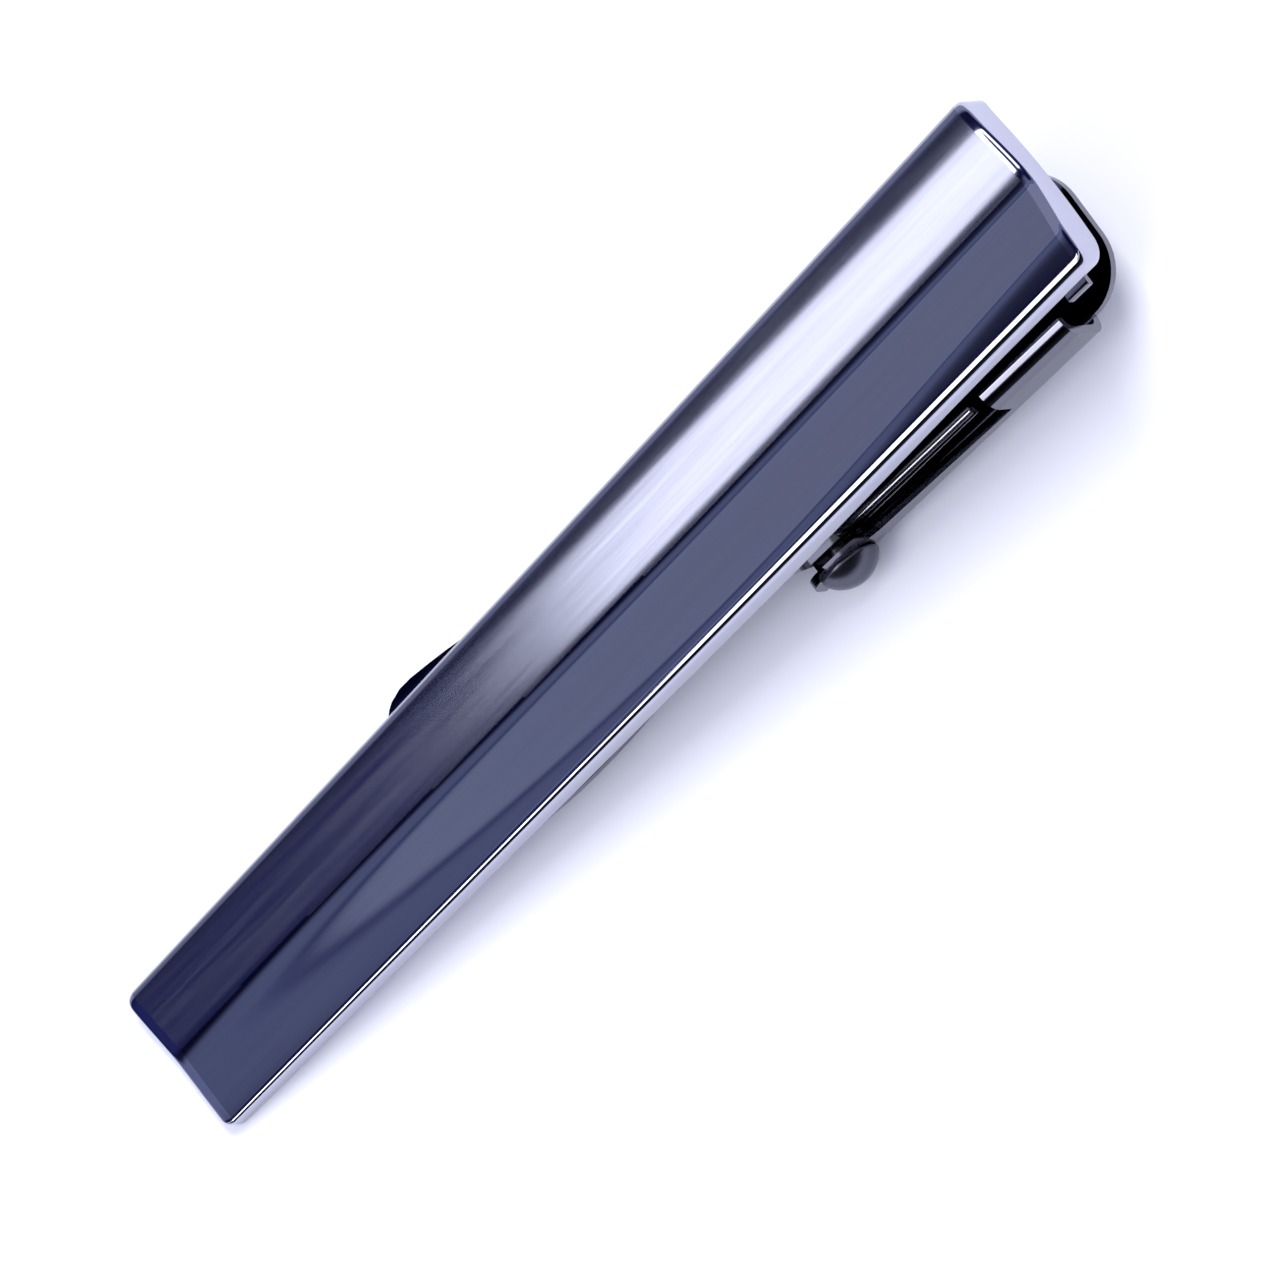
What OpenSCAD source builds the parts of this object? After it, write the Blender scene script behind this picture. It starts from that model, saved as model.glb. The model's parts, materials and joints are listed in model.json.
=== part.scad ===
// Tie clip: a grooved bar with a sprung lever clasp soldered to its back.
// X runs along the bar towards the thumb end, Y across it, Z out of the decorated front.
// The origin is the middle of the bar's flat back.

/* [Bar] */
// Length of the bar
bar_len = 54; // [48:1:64]
// Width of the bar at the thumb end
bar_thumb_w = 8.7; // [8:0.1:9.6]
// Width of the bar at the tip
bar_tip_w = 7; // [6:0.1:8]
// Thickness of the bar's long edges at the thumb end
bar_t = 1.9; // [1.6:0.1:2.4]
// Thickness of the bar's long edges at the tip
bar_tip_t = 0.9; // [0.8:0.1:1.6]
// Depth of the groove in the front at the tip
groove_tip = 0.4; // [0.2:0.05:0.6]
// Depth of the groove in the front at the thumb end
groove_thumb = 0.75; // [0.3:0.05:1]
// Radius that blends the bottom of the groove
groove_blend = 0.45; // [0.1:0.05:0.8]
// Distance from the long edges to the crest, where the facets level out
crest_inset = 0.85; // [0.6:0.05:1.2]
// Radius that blends the crest
crest_blend = 0.35; // [0.1:0.05:0.6]
// Rounding of the soft long edge at the thumb end
soft_thumb_r = 0.8; // [0.4:0.05:1]
// Rounding of the soft long edge at the tip
soft_tip_r = 0.4; // [0.2:0.05:0.6]
// Rounding of the crisp long edge at the thumb end
crisp_thumb_r = 0.45; // [0.15:0.05:0.6]
// Rounding of the crisp long edge at the tip
crisp_tip_r = 0.2; // [0.1:0.05:0.4]
// Rounding of the bar's corners, seen from the front
bar_corner_r = 0.35; // [0.2:0.05:0.6]
// Rounding of the front's two end edges
end_edge_r = 0.2; // [0.1:0.05:0.35]

/* [Clasp] */
// Angle at which the clasp is soldered askew on the bar
clasp_skew = 2.2; // [0:0.1:4]
// Distance from the bar's tip to the hinge pin
pivot_from_tip = 35; // [33:0.5:37]
// Depth of the hinge pin's axis behind the bar's back
pivot_drop = 4; // [3.7:0.1:4.6]

/* [Base] */
// Thickness of the base strip
base_t = 0.4; // [0.3:0.05:0.6]
// Width of the base strip between its ears and its tab
base_strip_w = 6; // [5:0.1:6.2]
// Thickness of the base's ears
base_ear_t = 0.4; // [0.3:0.05:0.55]
// Radius of the base's ears round the pin
base_ear_r = 0.8; // [0.75:0.05:0.85]
// Width of the base's ears where they leave the strip
base_ear_w = 3.6; // [2.4:0.1:5]
// Length of the strip ahead of the pin
base_ahead = 4; // [3:0.1:5]
// Length of the strip behind the pin
base_behind = 17.6; // [17:0.1:18]
// Length of the wide solder tab at the strip's end
base_tab_len = 1.2; // [0.8:0.1:1.8]
// Width of the wide solder tab
base_tab_w = 7.6; // [6.2:0.1:7.8]

/* [Lever] */
// Width of the lever over its side walls
lever_w = 8.2; // [7.8:0.1:8.6]
// Thickness of the lever's sheet
sheet_t = 0.4; // [0.3:0.05:0.5]
// Outer radius of the folds between floor and walls
fold_r = 0.9; // [0.55:0.05:0.95]
// Room between the pin's axis and the lever's floor
floor_room = 1; // [0.96:0.02:1.2]
// Length of the side walls ahead of the pin
wall_ahead = 1.8; // [1.4:0.1:2.4]
// Distance from the pin to where the rolled walls start
roll_start = 9.8; // [8.5:0.1:11]
// Length of the rolled walls
roll_len = 4.8; // [4:0.1:5.4]
// Width of the inward lip on the rolled walls
lip_w = 0.85; // [0.6:0.05:0.85]
// Depth of the rolled walls' top behind the bar's back
roll_drop = 2.15; // [2.1:0.05:2.6]
// Depth of the plain walls' top at the pin, behind the bar's back
wall_drop = 3.15; // [2.9:0.05:3.2]
// Further fall of the plain walls' top behind the pin's shoulder
shoulder_fall = 0.4; // [0.2:0.05:0.6]
// Fall of the plain walls' top from the shoulder to the rolled walls
wall_fall = 0.5; // [0.2:0.05:0.6]
// Rounding of the plain walls' front corner
wall_corner_r = 0.8; // [0.4:0.05:1]
// Length of the pad past the rolled walls
pad_over = 2.4; // [1.6:0.1:3]
// Width of the pad past the rolled walls
pad_w = 6.6; // [5.6:0.1:7]
// Rounding of the pad's corners
pad_corner_r = 2.3; // [1.2:0.1:2.3]

/* [Jaw] */
// Distance from the pin to the line of teeth
jaw_reach = 18.4; // [16:0.1:20]
// Width of the jaw at its teeth
jaw_w = 8.1; // [6.6:0.1:9]
// Width of the arm's waist next to the pin
waist_w = 4.2; // [3.8:0.1:5.9]
// Length of the nose past the line of teeth
nose_len = 0.9; // [0.7:0.05:1.4]
// Rounding of the jaw's corners
jaw_corner_r = 2.3; // [1:0.1:2.6]
// Distance from one tooth to the next
tooth_pitch = 0.8; // [0.6:0.05:1.2]
// Depth of the cuts between the teeth
tooth_depth = 0.25; // [0.1:0.05:0.3]
// Gap left between the teeth and the bar's back
jaw_gap = 0.05; // [0.03:0.01:0.1]

/* [Pin and spring] */
// Diameter of the hinge pin
pin_d = 1; // [0.8:0.05:1]
// Diameter of the pin's domed heads
head_d = 2.7; // [2:0.1:3]
// Height of the pin's domed heads
head_h = 0.9; // [0.4:0.05:1]
// Diameter of the spring wire
wire_d = 0.35; // [0.3:0.01:0.36]
// Distance from one turn of the coil to the next
coil_pitch = 0.77; // [0.76:0.01:0.9]
// Length of the spring's two legs
leg_len = 8; // [6:0.1:9]

/* [Hidden] */

// Running clearance of the pin in the lever
pin_clear = 0.03;
// Clearance beneath each head of the pin
head_clear = 0.04;
// Clearance of the coil round the pin
coil_clear = 0.04;
// Least clearance of the coil's ends from the base's ears
coil_end_clear = 0.08;
// Clearance of the spring's leg ends from their seats
leg_clear = 0.02;
// Radius left inside the lever's folds
fold_in_r = fold_r - sheet_t;
// Gap between the base's ears and the lever's walls
ear_clear = 0.2;
// Distance from the pin to the start of the walls' shoulder
shoulder_start = 0.8;
// Distance from the pin to the end of the walls' shoulder
shoulder_end = 2.2;
// Overrun of every cut past the face it opens
cut = 0.2;
// Overlap of the plain walls with the rolled ones
join = 0.2;
// Smoothness of arcs that stay exact
round_fn = 64;

bar_stations = 28;
groove_steps = 18;
edge_steps = 6;
end_steps = 4;
nose_steps = 6;
curl_rings = 8;
wire_sides = 6;
leg_rings = 3;

pivot_x = pivot_from_tip - bar_len / 2;
pin_r = pin_d / 2;
coil_r = pin_r + coil_clear + wire_d / 2;
floor_in = -pivot_drop - floor_room;
floor_out = floor_in - sheet_t;
wall_in = lever_w / 2 - sheet_t;
base_ear_out = wall_in - ear_clear;
roll_end = roll_start + roll_len;
pad_end = roll_end + pad_over;
jaw_top = -jaw_gap;
shoulder_top = -wall_drop - shoulder_fall;
arm_slope = (jaw_top - floor_in) / (jaw_reach - wall_ahead);
arm_drop = sheet_t * sqrt(1 + arm_slope * arm_slope);

// Value at a share t of the way from a to b
function lerp(a, b, t) = a + (b - a) * t;
// Share of the way from the tip to the thumb end
function along(x) = x / bar_len + 0.5;
// How much a rounded corner of radius r takes away at a distance s from its end
function round_off(r, s) = s >= r ? 0 : r - sqrt(max(0, r * r - (r - s) * (r - s)));
function end_dist(x) = bar_len / 2 - abs(x);
function half_w(x) = lerp(bar_tip_w, bar_thumb_w, along(x)) / 2 - round_off(bar_corner_r, end_dist(x));
function groove_at(x) = lerp(groove_tip, groove_thumb, along(x));
function soft_r(x) = lerp(soft_tip_r, soft_thumb_r, along(x));
function crisp_r(x) = lerp(crisp_tip_r, crisp_thumb_r, along(x));
function hyperbola(s, blend) = sqrt(s * s + blend * blend);
// Climb of a facet at a distance s from the middle: level at the bottom and again past the crest
function climb(s, crest) =
    hyperbola(s, groove_blend) - (hyperbola(s - crest, crest_blend) + s - crest) / 2;
// Fall of the groove at y
function groove_fall(x, y) =
    let (half = half_w(x), crest = half - crest_inset, low = climb(0, crest), high = climb(half, crest))
    groove_at(x) * (high - climb(abs(y), crest)) / (high - low);
function front_z(x, y) =
    lerp(bar_tip_t, bar_t, along(x)) - groove_fall(x, y) - round_off(end_edge_r, end_dist(x));
// Stations along the bar, closer together in the rounded ends
function stations() = concat(
    [for (i = [0:end_steps]) -bar_len / 2 + bar_corner_r * (1 - cos(90 * i / end_steps))],
    [for (i = [1:bar_stations]) (bar_len / 2 - bar_corner_r) * (2 * i / (bar_stations + 1) - 1)],
    [for (i = [end_steps:-1:0]) bar_len / 2 - bar_corner_r * (1 - cos(90 * i / end_steps))]);
// One cross-section of the bar: back, crisp edge, grooved front, soft edge
function bar_section(x) =
    let (half = half_w(x), soft = soft_r(x), crisp = crisp_r(x), left = half - soft, right = -half + crisp)
    concat(
        [[x, half, 0], [x, -half, 0]],
        [for (i = [0:edge_steps])
            let (a = 90 * i / edge_steps, y = right - crisp * cos(a))
            [x, y, front_z(x, y) - crisp * (1 - sin(a))]],
        [for (i = [1:groove_steps - 1])
            let (y = lerp(right, left, i / groove_steps))
            [x, y, front_z(x, y)]],
        [for (i = [0:edge_steps])
            let (a = 90 - 90 * i / edge_steps, y = left + soft * cos(a))
            [x, y, front_z(x, y) - soft * (1 - sin(a))]]);

// Skin of triangles between rings of n points, closed by a cap at each end
function skin(rings, n) = concat(
    [for (r = [0:rings - 2]) for (k = [0:n - 1])
        [r * n + k, r * n + (k + 1) % n, (r + 1) * n + (k + 1) % n]],
    [for (r = [0:rings - 2]) for (k = [0:n - 1])
        [r * n + k, (r + 1) * n + (k + 1) % n, (r + 1) * n + k]],
    [[for (k = [n - 1:-1:0]) k]],
    [[for (k = [0:n - 1]) (rings - 1) * n + k]]);

// Points of an arc of radius r round a centre, from angle a to angle b
function arc(centre, r, a, b, steps) =
    [for (i = [0:steps]) let (t = lerp(a, b, i / steps)) [centre[0] + r * cos(t), centre[1] + r * sin(t)]];

// The clasp's own frame: under the hinge pin, turned by the skew
module in_clasp() {
    translate([pivot_x, 0, 0]) rotate([0, 0, -clasp_skew]) children();
}

// Extrudes a side outline, drawn in X and Z, from y to y + width
module side_plate(y, width) {
    translate([0, y + width, 0]) rotate([90, 0, 0]) linear_extrude(height = width) children();
}

// Extrudes a cross-section, drawn in Y and Z, from x over a length
module run(x, length) {
    translate([x, 0, 0]) rotate([90, 0, 90]) linear_extrude(height = length) children();
}

// Extrudes a plan outline, drawn in X and Y, from z over a height
module plan(z, height) {
    translate([0, 0, z]) linear_extrude(height = height) children();
}

// A rectangle between two corners with all four corners rounded
module soft_rect(low, high, r) {
    translate([low[0] + r, low[1]]) square([high[0] - low[0] - 2 * r, high[1] - low[1]]);
    translate([low[0], low[1] + r]) square([high[0] - low[0], high[1] - low[1] - 2 * r]);
    for (x = [low[0] + r, high[0] - r]) for (y = [low[1] + r, high[1] - r])
        translate([x, y]) circle(r = r, $fn = round_fn);
}

// Grooved and tapered front bar, lofted through its cross-sections
module front_bar() {
    xs = stations();
    rings = [for (x = xs) bar_section(x)];
    color("#4b4d5e")
        polyhedron(points = [for (ring = rings) each ring], faces = skin(len(xs), len(rings[0])));
}

// Outline of one ear of the base, from the strip down round the pin
module base_ear_side() {
    translate([0, -pivot_drop]) circle(r = base_ear_r, $fn = round_fn);
    polygon([[-base_ear_w / 2, 0], [base_ear_w / 2, 0], [base_ear_w / 2, -base_t],
        [base_ear_r, -pivot_drop + base_ear_r], [base_ear_r, -pivot_drop],
        [-base_ear_r, -pivot_drop], [-base_ear_r, -pivot_drop + base_ear_r], [-base_ear_w / 2, -base_t]]);
}

// Soldered base: a strip with two ears for the pin and a wide tab at its end
module clasp_base() {
    color("#6a6878") in_clasp() difference() {
        union() {
            plan(-base_t, base_t) {
                translate([-base_ahead, -base_strip_w / 2]) square([base_ahead + base_behind, base_strip_w]);
                translate([-base_ear_w / 2, -base_ear_out]) square([base_ear_w, 2 * base_ear_out]);
                translate([base_behind - base_tab_len, -base_tab_w / 2]) square([base_tab_len, base_tab_w]);
            }
            side_plate(-base_ear_out, base_ear_t) base_ear_side();
            side_plate(base_ear_out - base_ear_t, base_ear_t) base_ear_side();
        }
        translate([0, 0, -pivot_drop]) rotate([90, 0, 0])
            cylinder(h = 2 * base_ear_out + 2 * cut, r = pin_r, center = true, $fn = round_fn);
    }
}

// Cross-section of the lever's channel, closed over at the top
module channel_section(top) {
    difference() {
        soft_rect([-lever_w / 2, floor_out], [lever_w / 2, top], fold_r);
        soft_rect([-wall_in, floor_in], [wall_in, top - sheet_t], fold_in_r);
    }
}

// Plain walls and floor round the pin
module plain_channel() {
    corner = [wall_corner_r - wall_ahead, -wall_drop - wall_corner_r];
    intersection() {
        run(-wall_ahead, wall_ahead + roll_end) channel_section(0);
        side_plate(-lever_w / 2, lever_w) polygon(concat(
            [[-wall_ahead, floor_out], [roll_start + join, floor_out],
                [roll_start + join, shoulder_top - wall_fall], [roll_start, shoulder_top - wall_fall],
                [shoulder_end, shoulder_top], [shoulder_start, -wall_drop]],
            arc(corner, wall_corner_r, 90, 180, edge_steps)));
    }
}

// Floor, walls and inward lips that the thumb holds
module rolled_channel() {
    lip_in = lever_w / 2 - lip_w;
    run(roll_start, roll_len) difference() {
        channel_section(-roll_drop);
        translate([-lip_in, -roll_drop - sheet_t - cut]) square([2 * lip_in, sheet_t + 2 * cut]);
    }
}

// Flat rounded end of the pad
module pad() {
    start = roll_end - pad_corner_r;
    intersection() {
        plan(floor_out, sheet_t)
            soft_rect([start - pad_corner_r, -pad_w / 2], [pad_end, pad_w / 2], pad_corner_r);
        translate([start, -pad_w / 2, floor_out]) cube([pad_end - start, pad_w, sheet_t]);
    }
}

// Half width of the arm at a distance s from the pin, from waist to jaw along a cosine
function arm_half(s) =
    let (share = (s - wall_ahead) / (jaw_reach - wall_ahead - jaw_corner_r))
    lerp(waist_w, jaw_w, (1 - cos(180 * min(1, max(0, share)))) / 2) / 2;

// Plan outline of the arm and jaw
module arm_plan() {
    jaw_end = jaw_reach + nose_len;
    shoulder = jaw_end - jaw_corner_r;
    side = concat(
        [for (i = [0:groove_steps])
            let (s = lerp(wall_ahead - sheet_t, shoulder, i / groove_steps)) [-s, arm_half(s)]],
        [for (i = [1:edge_steps]) let (a = 90 * i / edge_steps)
            [-shoulder - jaw_corner_r * sin(a), jaw_w / 2 - jaw_corner_r * (1 - cos(a))]]);
    polygon(concat(side, [for (i = [len(side) - 1:-1:0]) [side[i][0], -side[i][1]]]));
}

// Side outline of the sloping arm, whose nose turns away from the bar
module arm_side() {
    nose_r = nose_len;
    top_nose = arc([-jaw_reach, jaw_top - nose_r], nose_r, 90, 180, nose_steps);
    back_nose = arc([-jaw_reach, jaw_top - nose_r], nose_r - sheet_t, 180, 90, nose_steps);
    polygon(concat(
        [[-wall_ahead + sheet_t, floor_out], [-wall_ahead + sheet_t, floor_in], [-wall_ahead, floor_in]],
        top_nose, back_nose,
        [[-jaw_reach + sheet_t, jaw_top - arm_drop - sheet_t * arm_slope], [-wall_ahead, floor_out]]));
}

// V cuts that part the jaw's teeth, side by side across the nose
module tooth_cuts() {
    count = floor(jaw_w / tooth_pitch);
    for (i = [0:count]) translate([-jaw_reach - nose_len - cut, (i - count / 2) * tooth_pitch, 0])
        rotate([90, 0, 90]) linear_extrude(height = 2 * nose_len)
            polygon([[0, jaw_top - tooth_depth],
                [tooth_pitch / 2, jaw_top + cut], [-tooth_pitch / 2, jaw_top + cut]]);
}

// Arm that reaches from the floor to the toothed jaw
module arm() {
    difference() {
        intersection() {
            side_plate(-jaw_w / 2, jaw_w) arm_side();
            plan(floor_out, -floor_out) arm_plan();
        }
        tooth_cuts();
    }
}

// Stamped lever: arm and jaw, channel round the pin, rolled thumb pad
module clasp_lever() {
    color("#33333f") in_clasp() difference() {
        union() {
            plain_channel();
            rolled_channel();
            pad();
            arm();
        }
        translate([0, 0, -pivot_drop]) rotate([90, 0, 0])
            cylinder(h = lever_w + 2 * cut, r = pin_r + pin_clear, center = true, $fn = round_fn);
    }
}

// Outline of half the pin, turned round its axis: shank and one domed head
module half_pin_profile() {
    seat = lever_w / 2 + head_clear;
    dome_r = (head_d * head_d / 4 + head_h * head_h) / (2 * head_h);
    rim = asin(head_d / 2 / dome_r);
    polygon(concat(
        [[0, 0], [pin_r, 0], [pin_r, seat]],
        [for (i = [0:edge_steps]) let (a = rim * (1 - i / edge_steps))
            [dome_r * sin(a), seat + head_h - dome_r * (1 - cos(a))]]));
}

// Hinge pin with a domed head at each end
module hinge_pin() {
    color("#5b5a68") in_clasp() translate([0, 0, -pivot_drop])
        for (turn = [-90, 90]) rotate([turn, 0, 0]) rotate_extrude($fn = round_fn) half_pin_profile();
}

// Rise of the spring's upper leg and fall of its lower one
leg_far = sqrt(leg_len * leg_len + coil_r * coil_r);
leg_rise = asin((pivot_drop - base_t - wire_d / 2 - leg_clear) / leg_far) - atan(coil_r / leg_len);
leg_fall = asin((floor_room - wire_d / 2 - leg_clear) / leg_far) - atan(coil_r / leg_len);
coil_room = 2 * (base_ear_out - base_ear_t - coil_end_clear) - wire_d;
coil_turns = floor(coil_room / coil_pitch);
coil_half = coil_turns * coil_pitch / 2;
coil_sweep = 180 - leg_rise - leg_fall + 360 * (coil_turns - 1);
coil_rings = curl_rings * coil_turns;

// The wire's way as [angle round the pin, place along the pin, distance along a leg]
wire_way = concat(
    [for (i = [leg_rings:-1:1]) [90 + leg_rise, coil_half, -leg_len * i / leg_rings]],
    [for (i = [0:coil_rings]) let (share = i / coil_rings)
        [90 + leg_rise + coil_sweep * share, lerp(coil_half, -coil_half, share), 0]],
    [for (i = [1:leg_rings]) [90 + leg_rise + coil_sweep, -coil_half, leg_len * i / leg_rings]]);
function wire_out(row) = [cos(row[0]), 0, sin(row[0])];
function wire_on(row) = [-sin(row[0]), 0, cos(row[0])];
function wire_at(row) = coil_r * wire_out(row) + row[2] * wire_on(row) + [0, row[1], -pivot_drop];
function wire_ring(row) = [for (k = [0:wire_sides - 1]) let (a = 360 * k / wire_sides)
    wire_at(row) + wire_d / 2 * (cos(a) * wire_out(row) + [0, sin(a), 0])];

// Torsion spring: one wire wound round the pin, with a leg to the base and one to the lever
module torsion_spring() {
    color("#8c8c98") in_clasp()
        polyhedron(points = [for (row = wire_way) each wire_ring(row)],
            faces = skin(len(wire_way), wire_sides));
}

wire_points = [for (row = wire_way) wire_at(row)];
echo(wire_gap = min([for (i = [0:len(wire_points) - 1]) for (j = [i + curl_rings / 2:1:len(wire_points) - 1])
    norm(wire_points[i] - wire_points[j]) - wire_d]));

front_bar();
clasp_base();
clasp_lever();
hinge_pin();
torsion_spring();
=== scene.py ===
"""Tie clip in black nickel: a grooved satin bar with a polished spring clasp behind it.

Every length is held in millimetres and turned into metres by MM. The frame is the part's own:
X along the bar towards the thumb end, Y across it, Z out of the decorated front.
"""

from __future__ import annotations

import json
import logging
import math
from dataclasses import dataclass
from enum import Enum

import bmesh
import bpy
import numpy as np
from mathutils import Matrix, Vector

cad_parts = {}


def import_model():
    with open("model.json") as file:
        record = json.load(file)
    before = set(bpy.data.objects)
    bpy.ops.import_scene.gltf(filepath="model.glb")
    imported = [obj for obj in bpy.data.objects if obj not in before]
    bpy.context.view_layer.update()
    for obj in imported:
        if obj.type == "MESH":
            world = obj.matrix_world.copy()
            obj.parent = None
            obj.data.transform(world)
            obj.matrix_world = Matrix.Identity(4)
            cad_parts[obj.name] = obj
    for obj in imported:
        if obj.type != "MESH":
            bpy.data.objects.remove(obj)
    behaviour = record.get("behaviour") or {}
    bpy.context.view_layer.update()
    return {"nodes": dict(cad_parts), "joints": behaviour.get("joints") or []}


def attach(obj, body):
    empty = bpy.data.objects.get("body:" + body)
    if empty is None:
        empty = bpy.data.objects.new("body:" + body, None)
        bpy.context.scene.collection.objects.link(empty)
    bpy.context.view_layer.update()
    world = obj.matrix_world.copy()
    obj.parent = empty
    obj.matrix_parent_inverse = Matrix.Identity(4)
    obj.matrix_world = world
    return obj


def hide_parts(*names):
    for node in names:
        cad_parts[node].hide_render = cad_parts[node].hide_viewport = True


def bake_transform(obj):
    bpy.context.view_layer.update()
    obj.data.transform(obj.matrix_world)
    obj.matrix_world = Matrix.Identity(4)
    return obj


MM = 0.001
LOG = logging.getLogger("tie_clip")


class Grain(Enum):
    """How a metal surface was worked, which sets the marks that it shows."""

    BRUSHED = "brushed lengthwise"
    POLISHED = "buffed to a mirror"
    STAMPED = "stamped, then barrel polished"
    DRAWN = "drawn through a die"


@dataclass(frozen=True)
class MetalFinish:
    """One plated metal and the way its surface was worked.

    Attributes:
        name: the material's name.
        tone: sRGB hex of the reflection at normal incidence.
        shade: sRGB hex of the same plate where it is thinner or rubbed.
        roughness: spread of the reflection, 0 mirror to 1 matt.
        roughness_swing: how far the marks change the roughness.
        anisotropy: share of the spread that lies across the grain.
        grain: the working marks.
        mark_mm: distance between neighbouring marks.
        mark_long_mm: length of one mark.
        mark_depth_mm: depth of the marks for the bump.
    """

    name: str
    tone: str
    shade: str
    roughness: float
    roughness_swing: float
    anisotropy: float
    grain: Grain
    mark_mm: float
    mark_long_mm: float
    mark_depth_mm: float


# Black nickel over brass, satin brushed with a fine wheel: grey with a blue cast and soft long
# streaks. Real brush lines are finer than 0.08 mm; they are drawn this coarse so that they show.
SATIN_NICKEL = MetalFinish(
    "satin_black_nickel", "#9A9CAC", "#8C8E9E", 0.155, 0.06, 0.6, Grain.BRUSHED, 0.08, 3.0, 0.0006
)
# The facet that was brushed first and then glossed: its reflections keep their edges
GLOSSED_NICKEL = MetalFinish(
    "glossed_black_nickel", "#989AA9", "#8E909F", 0.075, 0.03, 0.3, Grain.BRUSHED, 0.08, 3.0, 0.0002
)
# The same plate on the bar's buffed edges and walls: sharp reflections, and a tone lighter than the
# facets', which is painted brightness so that the walls mirror the floor brighter
EDGE_NICKEL = MetalFinish(
    "polished_black_nickel_painted_lighter", "#BABBCA", "#AEAFBF", 0.08, 0.03, 0.0, Grain.POLISHED, 0.6, 0.6, 0.0003
)
# Black nickel on stamped brass sheet: mirror bright, rippled by the die
STAMPED_NICKEL = MetalFinish(
    "stamped_black_nickel", "#7A7A86", "#606069", 0.07, 0.04, 0.0, Grain.STAMPED, 0.9, 1.8, 0.004
)
# The rivet's turned brass under the same plate: its head is given a darker tone than the sheet and a
# duller finish
RIVET_NICKEL = MetalFinish(
    "rivet_black_nickel", "#5E5E6A", "#50505C", 0.28, 0.05, 0.0, Grain.POLISHED, 0.35, 0.35, 0.001
)
# Drawn spring steel: pale grey with fine die lines along the wire
SPRING_STEEL = MetalFinish(
    "drawn_spring_steel", "#B9BAC2", "#A4A5AF", 0.24, 0.08, 0.3, Grain.DRAWN, 0.06, 2.5, 0.001
)


def linear(hex_tone: str, alpha: float = 1.0) -> tuple[float, float, float, float]:
    """Turns an sRGB hex value into linear colour.

    Args:
        hex_tone: the colour as #RRGGBB.
        alpha: its opacity.

    Returns:
        Linear red, green, blue and alpha.
    """
    channels = [int(hex_tone[i : i + 2], 16) / 255 for i in (1, 3, 5)]
    low = [c / 12.92 if c <= 0.04045 else ((c + 0.055) / 1.055) ** 2.4 for c in channels]
    return (low[0], low[1], low[2], alpha)


def add_node(
    tree: bpy.types.NodeTree,
    kind: str,
    values: dict | None = None,
    links: dict | None = None,
    **settings,
) -> bpy.types.Node:
    """Adds one node with its settings, socket values and incoming links.

    Args:
        tree: the node tree it goes into.
        kind: the node's type name.
        values: socket values by socket name or index.
        links: output sockets by the name or index of the input that they feed.
        **settings: properties of the node itself.

    Returns:
        The new node.
    """
    node = tree.nodes.new(kind)
    for key, value in settings.items():
        setattr(node, key, value)
    sockets = {s.name: s for s in reversed(node.inputs) if s.enabled}
    for key, value in (values or {}).items():
        (node.inputs[key] if isinstance(key, int) else sockets[key]).default_value = value
    for key, socket in (links or {}).items():
        tree.links.new(socket, node.inputs[key] if isinstance(key, int) else sockets[key])
    return node


def metal_material(finish: MetalFinish) -> bpy.types.Material:
    """Makes the node material of a metal finish.

    The marks are noise on Object coordinates, stretched along X. Fine marks bump the surface,
    and streaks five marks wide change its tone and roughness.

    Args:
        finish: the metal and its working marks.

    Returns:
        The material.
    """
    material = bpy.data.materials.new(finish.name)
    material.use_nodes = True
    tree = material.node_tree
    tree.nodes.clear()
    place = add_node(tree, "ShaderNodeTexCoord")
    # One noise cell is about one mark: its scale is one over the mark's size in metres
    stretch = (1 / (finish.mark_long_mm * MM), 1 / (finish.mark_mm * MM), 1 / (finish.mark_mm * MM))
    spread = add_node(
        tree, "ShaderNodeMapping", {"Scale": stretch}, {"Vector": place.outputs["Object"]}
    )
    marks = add_node(
        tree,
        "ShaderNodeTexNoise",
        {"Scale": 1.0, "Detail": 4.0, "Roughness": 0.6},
        {"Vector": spread.outputs[0]},
    )
    # Rubbed streaks five marks wide: they mottle the edges of broad reflections
    streaks = add_node(
        tree,
        "ShaderNodeTexNoise",
        {"Scale": 0.2, "Detail": 3.0, "Roughness": 0.7},
        {"Vector": spread.outputs[0]},
    )
    tone = add_node(
        tree,
        "ShaderNodeMix",
        {"A": linear(finish.tone), "B": linear(finish.shade)},
        {"Factor": streaks.outputs["Fac"]},
        data_type="RGBA",
    )
    rough = add_node(
        tree,
        "ShaderNodeMapRange",
        {
            "From Min": 0.3,
            "From Max": 0.7,
            "To Min": finish.roughness - finish.roughness_swing / 2,
            "To Max": finish.roughness + finish.roughness_swing / 2,
        },
        {"Value": streaks.outputs["Fac"]},
    )
    bump = add_node(
        tree,
        "ShaderNodeBump",
        {"Strength": 1.0, "Distance": finish.mark_depth_mm * MM},
        {"Height": marks.outputs["Fac"]},
    )
    shader = add_node(
        tree,
        "ShaderNodeBsdfPrincipled",
        {"Metallic": 1.0, "Anisotropic": finish.anisotropy},
        {"Base Color": tone.outputs[2], "Roughness": rough.outputs[0], "Normal": bump.outputs[0]},
    )
    if finish.grain in (Grain.BRUSHED, Grain.DRAWN):
        # The marks run along X, so the reflection spreads across them, along Y
        across = add_node(tree, "ShaderNodeCombineXYZ", {"Y": 1.0})
        turned = add_node(
            tree,
            "ShaderNodeVectorTransform",
            links={"Vector": across.outputs[0]},
            vector_type="VECTOR",
            convert_from="OBJECT",
            convert_to="WORLD",
        )
        tree.links.new(turned.outputs[0], shader.inputs["Tangent"])
    add_node(tree, "ShaderNodeOutputMaterial", links={"Surface": shader.outputs[0]})
    return material


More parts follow.
